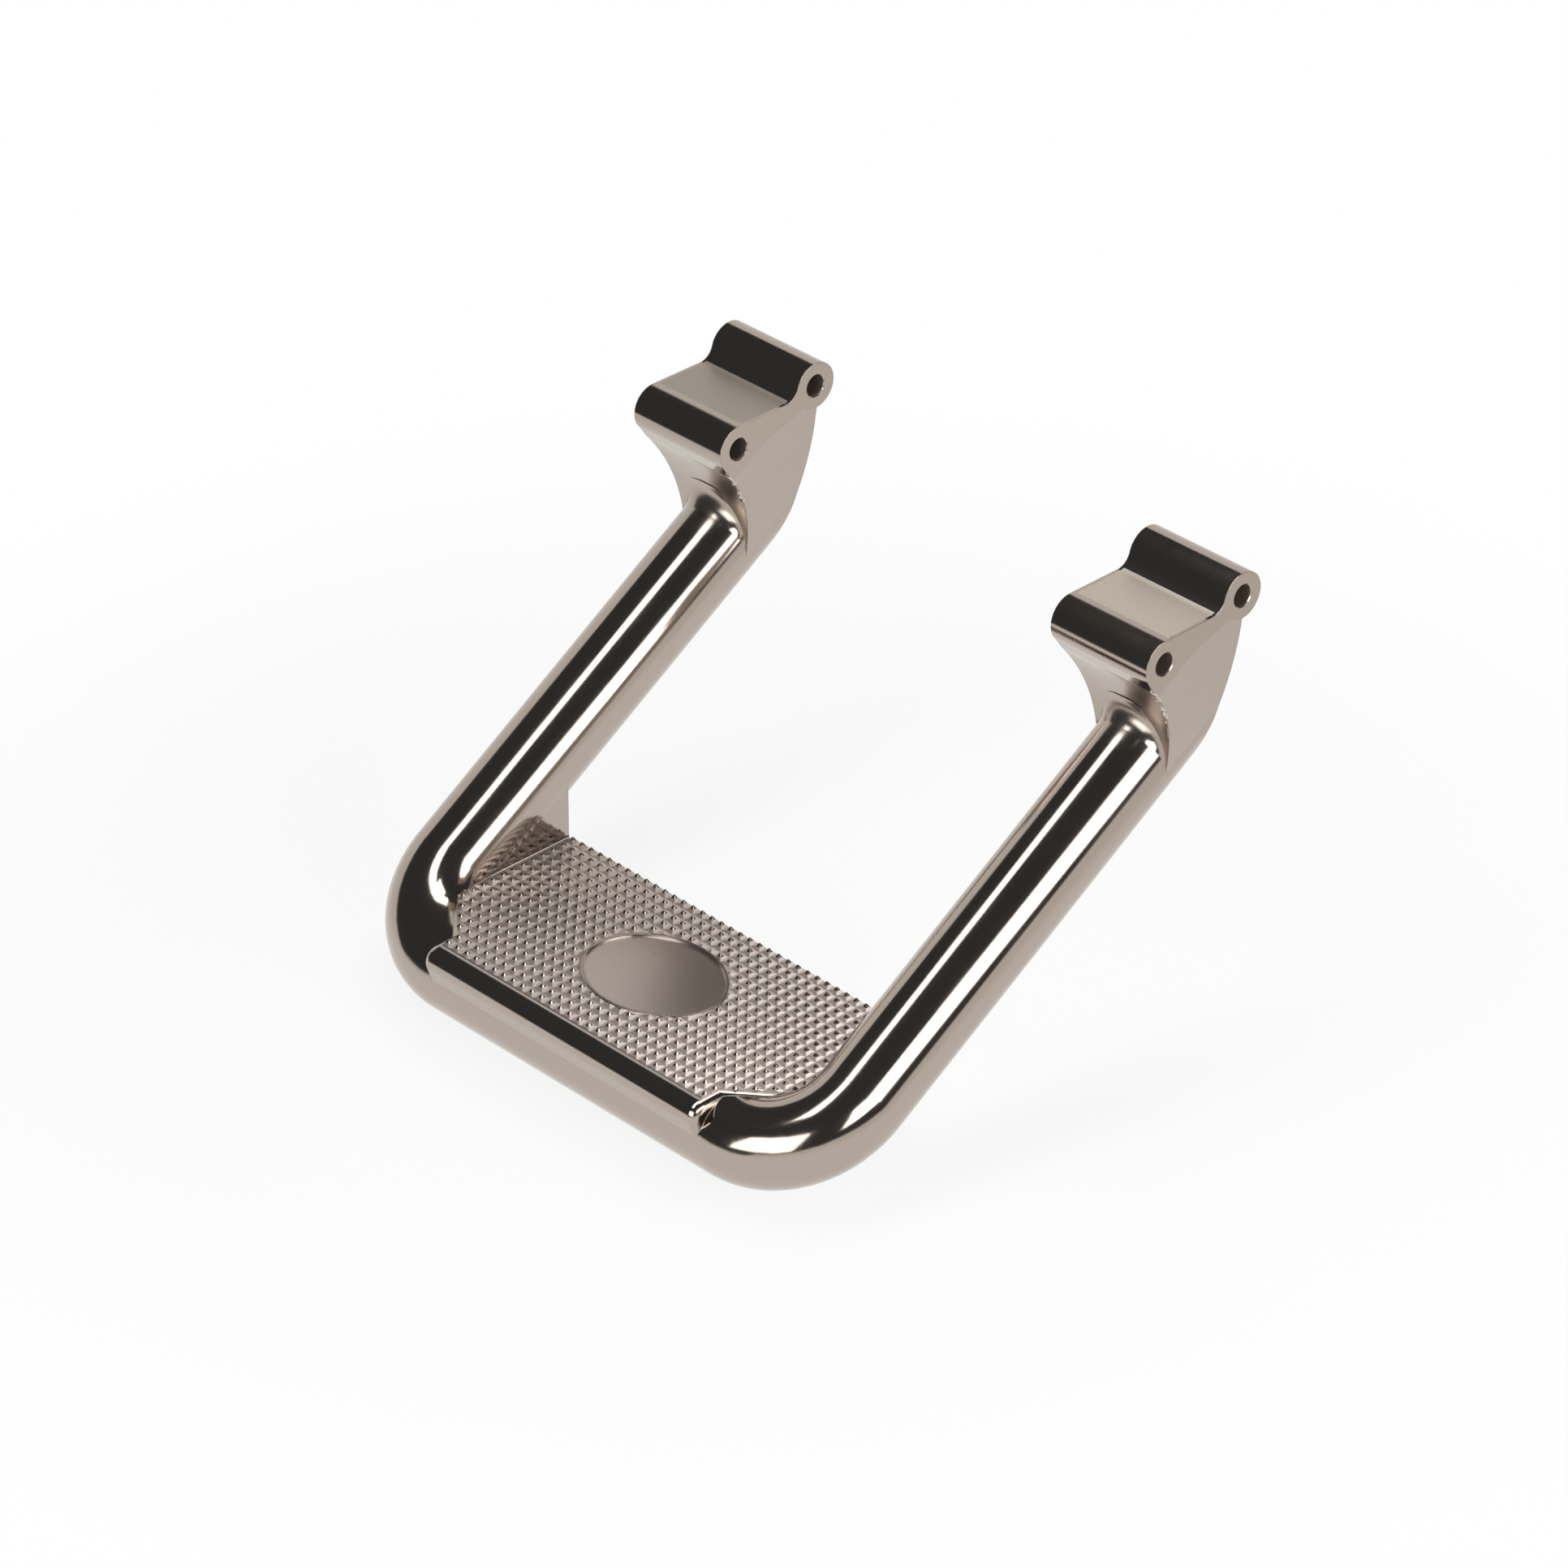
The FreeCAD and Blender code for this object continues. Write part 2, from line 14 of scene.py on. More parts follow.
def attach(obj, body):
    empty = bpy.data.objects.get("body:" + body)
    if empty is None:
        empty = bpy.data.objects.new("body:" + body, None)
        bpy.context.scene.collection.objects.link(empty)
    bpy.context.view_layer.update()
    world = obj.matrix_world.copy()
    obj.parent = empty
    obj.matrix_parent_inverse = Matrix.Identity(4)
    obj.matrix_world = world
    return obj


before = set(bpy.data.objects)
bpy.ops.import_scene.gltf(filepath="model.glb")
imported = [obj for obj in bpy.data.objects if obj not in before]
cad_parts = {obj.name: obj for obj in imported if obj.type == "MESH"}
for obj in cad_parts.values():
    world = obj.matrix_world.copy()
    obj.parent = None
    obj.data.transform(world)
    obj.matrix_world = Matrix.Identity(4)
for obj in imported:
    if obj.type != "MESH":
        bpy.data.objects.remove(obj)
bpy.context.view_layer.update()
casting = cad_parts["hoop_step"]

# %% [markdown]
# ## Where the finishes change
# The step is one metal, but not one polish. The tread with its oval, the saddles between the lobes of
# the ears and the necks are satin, and the bolt holes are drilled and dull. The zones could be painted
# by hand; a test of the place on the step is exact and stays with the metal. Each zone becomes a small
# node group that returns 0 outside and 1 inside. First come the helpers that build such a group: one
# adds a node and fills in its values, one joins two nodes, and the others do sums with nodes.

# %% Node helpers
def add_node(tree, kind, label, **values):
    """A node with some of its inputs or settings filled in."""
    node = tree.nodes.new(kind)
    node.label = label
    for key, value in values.items():
        name = key.replace("_", " ")
        if name in node.inputs:
            node.inputs[name].default_value = value
        else:
            setattr(node, key, value)
    return node


def join(tree, source, output, target, socket):
    """Joins one node's output to another node's input."""
    tree.links.new(source.outputs[output], target.inputs[socket])


def arithmetic(tree, operation, *inputs):
    """Output of a math node that is fed by numbers or by other nodes' outputs."""
    node = add_node(tree, "ShaderNodeMath", operation.lower(), operation=operation)
    for socket, value in zip(node.inputs, inputs):
        if isinstance(value, (int, float)):
            socket.default_value = value
        else:
            tree.links.new(value, socket)
    return node.outputs[0]


def new_group(name, outputs):
    """Node group that reads the place on the step and returns numbers."""
    group = bpy.data.node_groups.new(name, "ShaderNodeTree")
    for output in outputs:
        group.interface.new_socket(output, in_out="OUTPUT", socket_type="NodeSocketFloat")
    place = add_node(group, "ShaderNodeTexCoord", "place")
    return group, place, group.nodes.new("NodeGroupOutput")


def place_axes(group, place):
    """The place split into X, Y and Z."""
    axes = add_node(group, "ShaderNodeSeparateXYZ", "axes")
    join(group, place, "Object", axes, "Vector")
    return axes


def all_of(tree, tests):
    """1 where every test is 1."""
    inside = tests[0]
    for test in tests[1:]:
        inside = arithmetic(tree, "MULTIPLY", inside, test)
    return inside


# %% [markdown]
# ## The hoop's own axes
# The round bar, its bends and the arms lie in one plane that rises towards the vehicle. A height and a
# distance measured in that plane tell the bar from the tread where the two meet. They could be read
# from a helper object, but the export removes those, so the sums are done with nodes.

# %% Distance from the bar
HOOP_RISE = math.radians(32)
HOOP_HALF = 0.102
HOOP_BEND = 0.0325
BAR_BACK = -0.08735
BAR_HEIGHT = 0.016
BAR_REACH = 0.0163


def hypotenuse(tree, first, second):
    """Length of a vector of two numbers."""
    square = arithmetic(tree, "MULTIPLY", second, second)
    return arithmetic(tree, "SQRT", arithmetic(tree, "MULTIPLY_ADD", first, first, square))


def hoop_axes(tree, axes):
    """Distances along the rise of the hoop's plane and above that plane."""
    back = arithmetic(tree, "SUBTRACT", axes.outputs["Y"], BAR_BACK)
    rise = arithmetic(tree, "SUBTRACT", axes.outputs["Z"], BAR_HEIGHT)
    along = arithmetic(tree, "MULTIPLY", rise, math.sin(HOOP_RISE))
    above = arithmetic(tree, "MULTIPLY", rise, math.cos(HOOP_RISE))
    return (arithmetic(tree, "MULTIPLY_ADD", back, math.cos(HOOP_RISE), along),
            arithmetic(tree, "MULTIPLY_ADD", back, -math.sin(HOOP_RISE), above))


def off_bar(tree, axes):
    """1 away from the round bar: its centre line is straight, with two rounded corners."""
    along, above = hoop_axes(tree, axes)
    across = arithmetic(tree, "ABSOLUTE", axes.outputs["X"])
    outward = arithmetic(tree, "MAXIMUM", arithmetic(tree, "SUBTRACT", across, HOOP_HALF - HOOP_BEND), 0.0)
    forward = arithmetic(tree, "MAXIMUM", arithmetic(tree, "SUBTRACT", HOOP_BEND, along), 0.0)
    aside = arithmetic(tree, "SUBTRACT", hypotenuse(tree, outward, forward), HOOP_BEND)
    return arithmetic(tree, "GREATER_THAN", hypotenuse(tree, aside, above), BAR_REACH)


print("hoop's plane rises by", round(math.degrees(HOOP_RISE)), "degrees")

# %% [markdown]
# ## Tread and oval
# The tread's pyramids are cast and left satin, and the plain oval among them is a little smoother. Both
# could be separate materials on chosen faces. The CAD mesh stays as it is, so their places choose them.

# %% Tread and oval zones
TREAD_HEIGHT = 0.0328
TREAD_FRONT = -0.0993
TREAD_REAR = -0.0186
TREAD_HALF = 0.0862
TREAD_SLACK = 0.0001
STUD_FOOT = TREAD_HEIGHT + 0.0006
OVAL_HALF = (0.0293, 0.0238)
OVAL_BACK = 0.041
OVAL_DEPTH = 0.005


def tread_zone():
    """1 on the tread's upper face and its pyramids, up to the feet of the studs."""
    group, place, out = new_group("tread_zone", ["Inside"])
    axes = place_axes(group, place)
    across = arithmetic(group, "ABSOLUTE", axes.outputs["X"])
    tests = [off_bar(group, axes),
             arithmetic(group, "GREATER_THAN", axes.outputs["Z"], TREAD_HEIGHT - TREAD_SLACK),
             arithmetic(group, "LESS_THAN", axes.outputs["Z"], STUD_FOOT),
             arithmetic(group, "GREATER_THAN", axes.outputs["Y"], TREAD_FRONT),
             arithmetic(group, "LESS_THAN", axes.outputs["Y"], TREAD_REAR),
             arithmetic(group, "LESS_THAN", across, TREAD_HALF)]
    group.links.new(all_of(group, tests), out.inputs["Inside"])
    return group


def within(group, place, sizes, middle):
    """1 inside an egg shape of the given half sizes round a middle."""
    level = add_node(group, "ShaderNodeVectorMath", "from the middle", operation="MULTIPLY_ADD")
    level.inputs[1].default_value = [1 / size for size in sizes]
    level.inputs[2].default_value = [-part / size for part, size in zip(middle, sizes)]
    reach = add_node(group, "ShaderNodeVectorMath", "distance", operation="LENGTH")
    join(group, place, "Object", level, 0)
    join(group, level, "Vector", reach, 0)
    return arithmetic(group, "LESS_THAN", reach.outputs["Value"], 1.0)


def oval_zone():
    """1 on the plain oval of the tread and its rim."""
    group, place, out = new_group("oval_zone", ["Inside"])
    middle = (0.0, TREAD_FRONT + OVAL_BACK, TREAD_HEIGHT)
    group.links.new(within(group, place, (*OVAL_HALF, OVAL_DEPTH), middle), out.inputs["Inside"])
    return group


tread_group = tread_zone()
oval_group = oval_zone()
print("zones:", tread_group.name, oval_group.name)

# %% [markdown]
# ## Bores, saddles and necks
# The bolt holes are drilled and never polished. The flat saddle between the two lobes of an ear and the
# hollow neck below it are hard to reach with a buffing wheel, so they are duller than the arms. The
# neck's polish changes little by little, so its zone fades in and out.

# %% Bore, saddle and neck zones
BORE_PLACES = ((0.0582, 0.1625), (0.0959, 0.1737))
BORE_EDGE = 0.0042
SADDLE_LOW = 0.166
SADDLE_FRONT = 0.0605
SADDLE_REAR = 0.0835
SADDLE_SIDES = (0.0812, 0.1228)
NECK_FOOT = 0.122
NECK_TOP = 0.154
NECK_FADE = 0.007
ENDLESS = 1000.0


def bore_zone():
    """1 on the walls of the bolt holes, which run across the step from side to side."""
    group, place, out = new_group("bore_zone", ["Inside"])
    inside = 0.0
    for back, height in BORE_PLACES:
        near = within(group, place, (ENDLESS, BORE_EDGE, BORE_EDGE), (0.0, back, height))
        inside = arithmetic(group, "MAXIMUM", inside, near)
    group.links.new(inside, out.inputs["Inside"])
    return group


def saddle_zone():
    """1 on the flat between the two lobes of each ear."""
    group, place, out = new_group("saddle_zone", ["Inside"])
    axes = place_axes(group, place)
    across = arithmetic(group, "ABSOLUTE", axes.outputs["X"])
    tests = [arithmetic(group, "GREATER_THAN", axes.outputs["Z"], SADDLE_LOW),
             arithmetic(group, "GREATER_THAN", axes.outputs["Y"], SADDLE_FRONT),
             arithmetic(group, "LESS_THAN", axes.outputs["Y"], SADDLE_REAR),
             arithmetic(group, "GREATER_THAN", across, SADDLE_SIDES[0]),
             arithmetic(group, "LESS_THAN", across, SADDLE_SIDES[1])]
    group.links.new(all_of(group, tests), out.inputs["Inside"])
    return group


def neck_zone():
    """Rises to 1 on the necks, between the arms and the ears."""
    group, place, out = new_group("neck_zone", ["Inside"])
    axes = place_axes(group, place)
    limits = []
    for label, start, end in (("above the arm", NECK_FOOT, NECK_FOOT + NECK_FADE),
                              ("below the ear", NECK_TOP, NECK_TOP - NECK_FADE)):
        limit = add_node(group, "ShaderNodeMapRange", label, From_Min=start, From_Max=end)
        join(group, axes, "Z", limit, "Value")
        limits.append(limit.outputs["Result"])
    group.links.new(all_of(group, limits), out.inputs["Inside"])
    return group


bore_group = bore_zone()
saddle_group = saddle_zone()
neck_group = neck_zone()
print("zones:", bore_group.name, saddle_group.name, neck_group.name)

# %% [markdown]
# ## Marks of casting and polishing
# A polished casting isn't a perfect mirror. The buffing wheel leaves fine lines along the arms and
# shallow waves, and the mould's halves leave a faint parting line low on the sides of the bar. They
# could be modelled, but they are far below a tenth of a millimetre, so noise in the bump and in the
# roughness shows them.

# %% Polish group
LINE_SQUEEZE = 0.04
MIRROR_ROUGHNESS = 0.045
LINE_ROUGHNESS = 0.07
WAVE_ROUGHNESS = 0.05
LINE_HEIGHT = 0.02
WAVE_HEIGHT = 0.3
SPECK_HEIGHT = 0.01
PARTING_HEIGHT = 0.12
PARTING_DEPTH = 0.0056
PARTING_WOBBLE = 0.0012
PARTING_WIDTH = 0.0004


def buffing_lines(group, place):
    """Noise drawn out along the arms."""
    along = add_node(group, "ShaderNodeMapping", "along the arms")
    along.inputs["Rotation"].default_value = (-HOOP_RISE, 0.0, 0.0)
    join(group, place, "Object", along, "Vector")
    stretch = add_node(group, "ShaderNodeVectorMath", "drawn out", operation="MULTIPLY")
    stretch.inputs[1].default_value = (1.0, LINE_SQUEEZE, 1.0)
    join(group, along, "Vector", stretch, 0)
    lines = add_node(group, "ShaderNodeTexNoise", "buffing lines", Scale=900.0, Detail=3.0)
    join(group, stretch, "Vector", lines, "Vector")
    return lines.outputs["Fac"]


def parting_line(group, place, waves):
    """1 on a slightly wavy line below the middle of the bar and arms."""
    above = hoop_axes(group, place_axes(group, place))[1]
    depth = arithmetic(group, "MULTIPLY_ADD", waves, PARTING_WOBBLE, PARTING_DEPTH - PARTING_WOBBLE / 2)
    gap = arithmetic(group, "ABSOLUTE", arithmetic(group, "ADD", above, depth))
    ridge = add_node(group, "ShaderNodeMapRange", "parting line", From_Min=PARTING_WIDTH, From_Max=0.0)
    group.links.new(gap, ridge.inputs["Value"])
    return ridge.outputs["Result"]


def polish_marks():
    """Buffing lines, waves, specks and the parting line, as a roughness and a height."""
    group, place, out = new_group("polish_marks", ["Roughness", "Height"])
    lines = buffing_lines(group, place)
    wave_noise = add_node(group, "ShaderNodeTexNoise", "waves", Scale=45.0, Detail=1.0)
    speck_noise = add_node(group, "ShaderNodeTexNoise", "specks", Scale=1600.0, Detail=2.0)
    for noise in (wave_noise, speck_noise):
        join(group, place, "Object", noise, "Vector")
    waves = wave_noise.outputs["Fac"]
    rough = arithmetic(group, "MULTIPLY_ADD", lines, LINE_ROUGHNESS, MIRROR_ROUGHNESS)
    rough = arithmetic(group, "MULTIPLY_ADD", waves, WAVE_ROUGHNESS, rough)
    group.links.new(rough, out.inputs["Roughness"])
    height = arithmetic(group, "MULTIPLY", lines, LINE_HEIGHT)
    height = arithmetic(group, "MULTIPLY_ADD", waves, WAVE_HEIGHT, height)
    height = arithmetic(group, "MULTIPLY_ADD", speck_noise.outputs["Fac"], SPECK_HEIGHT, height)
    height = arithmetic(group, "MULTIPLY_ADD", parting_line(group, place, waves), PARTING_HEIGHT, height)
    group.links.new(height, out.inputs["Height"])
    return group


marks = polish_marks()
print("marks:", marks.name)

# %% [markdown]
# ## The polished casting
# The photo shows one warm, mirror-polished metal. A plain metallic shader would do from afar. Here the
# zones choose between the mirror, the satin tread, saddles and necks and the dull bores, and a bevel
# node eases the sharp edges, which a buffing wheel always rounds a little. The satin colour is painted
# lighter than the mirror metal, so the tread and the flash carry painted light.

# %% Polished casting
MIRROR_COLOUR = (0.45, 0.387, 0.335, 1.0)
# The satin colour is painted lighter than the mirror metal: painted light, not the metal's own colour.
SATIN_COLOUR_PAINTED_LIGHTER = (0.62, 0.545, 0.505, 1.0)
SADDLE_COLOUR = (0.47, 0.415, 0.36, 1.0)
BORE_COLOUR = (0.34, 0.28, 0.23, 1.0)
SATIN_ROUGHNESS = 0.36
OVAL_ROUGHNESS = 0.25
NECK_ROUGHNESS = 0.24
SADDLE_ROUGHNESS = 0.5
BORE_ROUGHNESS = 0.6


def new_material(name):
    """Empty node material with its tree and its output."""
    material = bpy.data.materials.new(name)
    material.use_nodes = True
    tree = material.node_tree
    tree.nodes.clear()
    return material, tree, tree.nodes.new("ShaderNodeOutputMaterial")


def group_node(tree, group):
    """Node that calls a group."""
    node = add_node(tree, "ShaderNodeGroup", group.name)
    node.node_tree = group
    return node


def choose(tree, factor, first, second, data_type):
    """Output of a mix node between two values by a factor."""
    node = add_node(tree, "ShaderNodeMix", "choose", data_type=data_type)
    number = {"FLOAT": 2, "RGBA": 6}[data_type]
    for index, value in ((0, factor), (number, first), (number + 1, second)):
        if isinstance(value, (int, float, tuple)):
            node.inputs[index].default_value = value
        else:
            tree.links.new(value, node.inputs[index])
    return node.outputs[{"FLOAT": 0, "RGBA": 2}[data_type]]


polished, tree, out = new_material("polished_casting")
on_tread = group_node(tree, tread_group).outputs["Inside"]
in_oval = group_node(tree, oval_group).outputs["Inside"]
in_bore = group_node(tree, bore_group).outputs["Inside"]
on_saddle = group_node(tree, saddle_group).outputs["Inside"]
on_neck = group_node(tree, neck_group).outputs["Inside"]
worked = group_node(tree, marks)
colour = MIRROR_COLOUR
# On the tread the colour is painted lighter than the metal, as painted light; its roughness is real.
for zone, zone_colour in ((on_tread, SATIN_COLOUR_PAINTED_LIGHTER), (on_saddle, SADDLE_COLOUR), (in_bore, BORE_COLOUR)):
    colour = choose(tree, zone, colour, zone_colour, "RGBA")
rough = worked.outputs["Roughness"]
for zone, zone_roughness in ((on_tread, SATIN_ROUGHNESS), (in_oval, OVAL_ROUGHNESS),
                             (on_neck, NECK_ROUGHNESS), (on_saddle, SADDLE_ROUGHNESS),
                             (in_bore, BORE_ROUGHNESS)):
    rough = choose(tree, zone, rough, zone_roughness, "FLOAT")
shader = add_node(tree, "ShaderNodeBsdfPrincipled", "metal", Metallic=1.0)
tree.links.new(colour, shader.inputs["Base Color"])
tree.links.new(rough, shader.inputs["Roughness"])
eased = add_node(tree, "ShaderNodeBevel", "eased edges", Radius=0.0005, samples=3)
relief = add_node(tree, "ShaderNodeBump", "relief", Strength=0.35, Distance=0.00025)
join(tree, worked, "Height", relief, "Height")
join(tree, eased, "Normal", relief, "Normal")
join(tree, relief, "Normal", shader, "Normal")
join(tree, shader, "BSDF", out, "Surface")
casting.data.materials.clear()
casting.data.materials.append(polished)
print("casting finish:", polished.name)

# %% [markdown]
# ## One stud
# Each pyramid of the tread ends in a small steep stud with a rounded tip, which catches the light as a
# bright streak. It could be a bump in the material, but its outline shows against the tread. One stud is
# a four-sided cone with its ridges and tip bevelled.

# %% One stud
STUD_RADIUS = 0.0013
STUD_TIP = 0.00028
STUD_HEIGHT = 0.0013
STUD_ROUNDING = 0.6 * STUD_TIP


def pick_edges(obj, test):
    """Goes into edit mode with only the edges selected that pass a test."""
    bpy.ops.object.mode_set(mode="EDIT")
    bpy.ops.mesh.select_mode(type="EDGE")
    bpy.ops.mesh.select_all(action="DESELECT")
    bpy.ops.object.mode_set(mode="OBJECT")
    for edge in obj.data.edges:
        edge.select = test(edge)
    bpy.ops.object.mode_set(mode="EDIT")


bpy.ops.object.select_all(action="DESELECT")
bpy.ops.mesh.primitive_cone_add(vertices=4, radius1=STUD_RADIUS, radius2=STUD_TIP, depth=STUD_HEIGHT,
                                end_fill_type="NGON", location=(0, 0, 0), rotation=(0, 0, math.pi / 4))
stud = bpy.context.active_object
stud.name = "tread_studs"
bpy.ops.object.transform_apply(location=True, rotation=True, scale=True)
pick_edges(stud, lambda edge: max(stud.data.vertices[end].co.z for end in edge.vertices) > 0)
bpy.ops.mesh.bevel(offset=STUD_ROUNDING, segments=2, affect="EDGES", clamp_overlap=True)
bpy.ops.object.mode_set(mode="OBJECT")
bpy.ops.object.shade_smooth_by_angle(angle=math.radians(50))
stud.data.materials.append(polished)
print("stud faces:", len(stud.data.polygons))

# %% [markdown]
# ## Studs in rows
# The stud stands on every whole pyramid of the tread. A modifier could scatter it. Copies set down one
# by one can skip the oval and the places where the bar covers the tread: a ray from above finds the tip
# of each pyramid, and one that is cut or covered has its top at another height. Each stud is sunk a
# little, because it is cast in one with its pyramid.

# %% Studs in rows
PITCH = 0.00475
FIRST_ROW = 0.0034
ROWS = 17
HALF_COLUMNS = 18
APEX = TREAD_HEIGHT + 0.0007
APEX_SLACK = 0.00012
STUD_SINK = 0.0002
STUD_CLEARANCE = 1.04
RAY_HEIGHT = 0.1


def select_only(obj):
    """Makes one object the only selected and active one."""
    bpy.ops.object.select_all(action="DESELECT")
    obj.select_set(True)
    bpy.context.view_layer.objects.active = obj


def stud_places():
    """Tip of each pyramid that is whole enough to carry a stud."""
    tips = []
    for row in range(ROWS):
        for column in range(-HALF_COLUMNS, HALF_COLUMNS):
            across = (column + 0.5) * PITCH
            back = FIRST_ROW + row * PITCH
            from_oval = math.hypot(across / OVAL_HALF[0], (back - OVAL_BACK) / OVAL_HALF[1])
            top = Vector((across, TREAD_FRONT + back, RAY_HEIGHT))
            found, hit, normal, face = casting.ray_cast(top, Vector((0, 0, -1)))
            if found and from_oval > STUD_CLEARANCE and abs(hit.z - APEX) < APEX_SLACK:
                tips.append(hit)
    return tips


copies = []
for tip in stud_places():
    copy = stud.copy()
    copy.data = stud.data.copy()
    bpy.context.collection.objects.link(copy)
    copy.location = (tip.x, tip.y, APEX - STUD_SINK + STUD_HEIGHT / 2)
    copies.append(copy)
stud_count = len(copies)
bpy.data.objects.remove(stud)
select_only(copies[0])
for copy in copies:
    copy.select_set(True)
bpy.ops.object.transform_apply(location=True, rotation=False, scale=False)
bpy.ops.object.join()
studs = bpy.context.active_object
studs.name = "tread_studs"
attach(studs, "root")
print("studs:", stud_count, "faces:", len(studs.data.polygons))

# %% [markdown]
# ## Casting flash
# On the +X edge of each neck the photo shows a rough seam, where metal was squeezed out between the
# halves of the mould and the polisher didn't reach. It could be a strip with a displacement. Here a
# small ring is extruded from point to point down the edge, and swells and shrinks on the way. Its
# corners are then moved at random, always in the same way, so that its facets glint.

# %% Casting flash
NECK_INSET = 0.1186
EDGE_INSET = 0.0006
RAY_FRONT = -0.3
RAY_SIDE = 0.2
FLASH_TOP = 0.1545
FLASH_FOOT = 0.1285
FLASH_STEPS = 20
FLASH_RADIUS = 0.00075
FLASH_RAGGED = 0.0003
FLASH_THIN = 0.25
FLASH_MEAN = 0.75
FLASH_KNOTS = ((0.35, 1.7), (0.4, 0.7))
FLASH_END = 0.3


def neck_edge(height):
    """Point on the right neck's front edge, found by a ray from the front and one from the side."""
    front = casting.ray_cast(Vector((NECK_INSET, RAY_FRONT, height)), Vector((0, 1, 0)))[1]
    side = casting.ray_cast(Vector((RAY_SIDE, front.y + EDGE_INSET, height)), Vector((-1, 0, 0)))[1]
    return Vector((side.x - EDGE_INSET, front.y, height))


def swelling(step):
    """Share of the seam's radius at a step: thin at both ends and thickest near the ear."""
    taper = math.sin(math.pi * math.sqrt((step + FLASH_END) / (FLASH_STEPS + 2 * FLASH_END)))
    knots = sum(share * math.sin(turn * step) for share, turn in FLASH_KNOTS)
    return FLASH_THIN + taper * (FLASH_MEAN + knots)


heights = [FLASH_TOP + (FLASH_FOOT - FLASH_TOP) * step / FLASH_STEPS for step in range(FLASH_STEPS + 1)]
path = [neck_edge(height) for height in heights]
bpy.ops.object.select_all(action="DESELECT")
bpy.ops.mesh.primitive_circle_add(vertices=6, radius=FLASH_RADIUS * swelling(0), fill_type="NGON",
                                  location=path[0])
seam = bpy.context.active_object
seam.name = "flash_right"
bpy.ops.object.transform_apply(location=True, rotation=True, scale=True)
bpy.ops.object.mode_set(mode="EDIT")
bpy.ops.mesh.select_all(action="SELECT")
for step in range(FLASH_STEPS):
    growth = swelling(step + 1) / swelling(step)
    bpy.ops.mesh.extrude_region_move(TRANSFORM_OT_translate={"value": path[step + 1] - path[step]})
    bpy.ops.transform.resize(value=(growth, growth, growth), center_override=path[step + 1])
bpy.ops.mesh.select_all(action="SELECT")
bpy.ops.transform.vertex_random(offset=FLASH_RAGGED, seed=4)
bpy.ops.mesh.normals_make_consistent(inside=False)
bpy.ops.object.mode_set(mode="OBJECT")
print("flash:", len(seam.data.polygons), "faces, from", [round(v, 4) for v in path[0]])

# %% [markdown]
# ## Finish of the flash and its copy
# The torn metal has bright facets with sharp edges. The casting's own material would ease those edges
# away, so the flash gets a plain metal. The other neck's edge lies one arm spacing to the left, so its
# seam is a copy.

# %% Finish and copy of the flash
ARM_SPACING = 0.204
TORN_ROUGHNESS = 0.12
torn, tree, out = new_material("torn_metal")
shader = add_node(tree, "ShaderNodeBsdfPrincipled", "torn metal", Metallic=1.0, Roughness=TORN_ROUGHNESS)
# The flash takes the satin colour, which is painted lighter than the mirror metal: painted light.
shader.inputs["Base Color"].default_value = SATIN_COLOUR_PAINTED_LIGHTER
join(tree, shader, "BSDF", out, "Surface")
seam.data.materials.append(torn)
twin = seam.copy()
twin.data = seam.data.copy()
twin.name = "flash_left"
bpy.context.collection.objects.link(twin)
select_only(twin)
bpy.ops.transform.translate(value=(-ARM_SPACING, 0, 0))
bpy.ops.object.transform_apply(location=True, rotation=False, scale=False)
for piece in (seam, twin):
    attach(piece, "root")
print("flash pieces:", seam.name, twin.name)

# %% [markdown]
# ## Floor
# A plain pale disc. It could be endless, but a disc that fades into the white surroundings has no
# horizon to show behind the step. The camera and mirrors see it nearly white, and it keeps the shadow.

# %% Floor
FLOOR_RADIUS = 1.5
FLOOR_GLOW = 0.86
FADE_START = 0.2
FADE_END = 0.45
bpy.ops.object.select_all(action="DESELECT")
bpy.ops.mesh.primitive_circle_add(vertices=96, radius=FLOOR_RADIUS, fill_type="NGON", location=(0, 0, 0))
floor = bpy.context.active_object
floor.name = "floor"
pale, tree, out = new_material("pale_floor")
matt = add_node(tree, "ShaderNodeBsdfDiffuse", "floor", Color=(0.9, 0.9, 0.9, 1.0))
white = add_node(tree, "ShaderNodeEmission", "white", Strength=1.0)
ray = add_node(tree, "ShaderNodeLightPath", "kind of ray")
seen = arithmetic(tree, "MAXIMUM", ray.outputs["Is Camera Ray"], ray.outputs["Is Glossy Ray"])
seen = arithmetic(tree, "MAXIMUM", seen, ray.outputs["Is Transmission Ray"])
near_white = add_node(tree, "ShaderNodeMixShader", "nearly white")
tree.links.new(arithmetic(tree, "MULTIPLY", seen, FLOOR_GLOW), near_white.inputs[0])
join(tree, matt, "BSDF", near_white, 1)
join(tree, white, "Emission", near_white, 2)
clear = add_node(tree, "ShaderNodeBsdfTransparent", "beyond the floor")
place = add_node(tree, "ShaderNodeTexCoord", "place")
reach = add_node(tree, "ShaderNodeVectorMath", "distance", operation="LENGTH")
fade = add_node(tree, "ShaderNodeMapRange", "fade", From_Min=FADE_START, From_Max=FADE_END)
fade.interpolation_type = "SMOOTHSTEP"
mix = add_node(tree, "ShaderNodeMixShader", "floor or beyond")
join(tree, place, "Object", reach, "Vector")
join(tree, reach, "Value", fade, "Value")
join(tree, fade, "Result", mix, "Fac")
join(tree, near_white, "Shader", mix, 1)
join(tree, clear, "BSDF", mix, 2)
join(tree, mix, "Shader", out, "Surface")
floor.data.materials.append(pale)
print("floor:", floor.name)

# %% [markdown]
# ## Walls and ceiling
# A mirror shows the room around it. Pale walls stand at the left and behind the step and end towards
# the front and the right, where only the pale ground is left, and the ceiling is dark. They could be
# built of boards; the world paints them instead, pale below a slanting edge and dark above it. The
# camera itself sees plain white.

